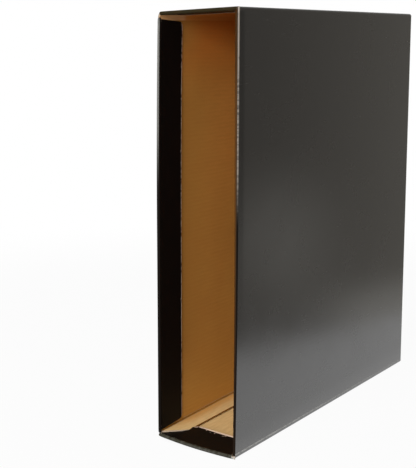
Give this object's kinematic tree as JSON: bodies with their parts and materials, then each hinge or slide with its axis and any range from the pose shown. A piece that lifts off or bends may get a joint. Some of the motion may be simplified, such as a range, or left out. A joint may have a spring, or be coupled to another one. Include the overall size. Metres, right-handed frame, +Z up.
{
  "type": "cardboard slipcase",
  "caption": "Upright black cardboard slipcase for a lever-arch file, open at its narrow front, with folded-in hems at the mouth and a tuck flap at the back.",
  "frame": {"origin": "centre of the underside, on the surface that the box stands on", "axes": "+Z up along the height, +X across the spine's width, -Y out of the open mouth"},
  "size_m": [0.07, 0.29, 0.325],
  "materials": {
    "black_facing": "black printed paper with a satin varnish",
    "kraft_board": "uncoated brown kraft liner over fluted board",
    "glue": "set hot-melt glue, dull amber"
  },
  "bodies": {
    "sleeve": {"bottom_hem": "black_facing", "bottom_mouth_fold": "black_facing", "bottom_panel": "kraft_board", "bottom_panel_facing": "black_facing", "bottom_right_crease": "kraft_board", "bottom_right_crease_facing": "black_facing", "glue_bead": "glue", "glue_tab": "kraft_board", "left_hem": "black_facing", "left_mouth_fold": "black_facing", "left_wall": "kraft_board", "left_wall_facing": "black_facing", "lower_dust_crease": "kraft_board", "lower_dust_crease_facing": "black_facing", "rear_crease": "kraft_board", "rear_crease_facing": "black_facing", "right_hem": "black_facing", "right_mouth_fold": "black_facing", "right_wall": "kraft_board", "right_wall_facing": "black_facing", "tab_crease": "kraft_board", "tab_crease_facing": "black_facing", "top_hem": "black_facing", "top_left_crease": "kraft_board", "top_left_crease_facing": "black_facing", "top_mouth_fold": "black_facing", "top_panel": "kraft_board", "top_panel_facing": "black_facing", "top_right_crease": "kraft_board", "top_right_crease_facing": "black_facing", "upper_dust_crease": "kraft_board", "upper_dust_crease_facing": "black_facing"},
    "rear_closure": {"rear_flap": "kraft_board", "rear_flap_facing": "black_facing", "tongue_crease": "kraft_board", "tongue_crease_facing": "black_facing"},
    "tongue": {"tuck_tongue": "kraft_board", "tuck_tongue_facing": "black_facing"},
    "upper_dust": {"upper_dust_flap": "kraft_board", "upper_dust_flap_facing": "black_facing"},
    "lower_dust": {"lower_dust_flap": "kraft_board", "lower_dust_flap_facing": "black_facing"}
  },
  "joints": [
    {"name": "rear_flap_hinge", "type": "hinge", "parent": "sleeve", "child": "rear_closure", "pos_m": [0.03447, 0.14447, 0.1625], "axis": [0, 0, -1], "range_deg": [0, 120]},
    {"name": "tongue_hinge", "type": "hinge", "parent": "rear_closure", "child": "tongue", "pos_m": [-0.03247, 0.14447, 0.1625], "axis": [0, 0, -1], "range_deg": [0, 60]},
    {"name": "upper_dust_hinge", "type": "hinge", "parent": "sleeve", "child": "upper_dust", "pos_m": [0, 0.1415, 0.3232], "axis": [-1, 0, 0], "range_deg": [0, 80]},
    {"name": "lower_dust_hinge", "type": "hinge", "parent": "sleeve", "child": "lower_dust", "pos_m": [0, 0.1415, 0.0018], "axis": [1, 0, 0], "range_deg": [0, 80]}
  ],
  "couplings": [
    {"joint": "tongue_hinge", "follows": "rear_flap_hinge", "ratio": 0.5}
  ]
}
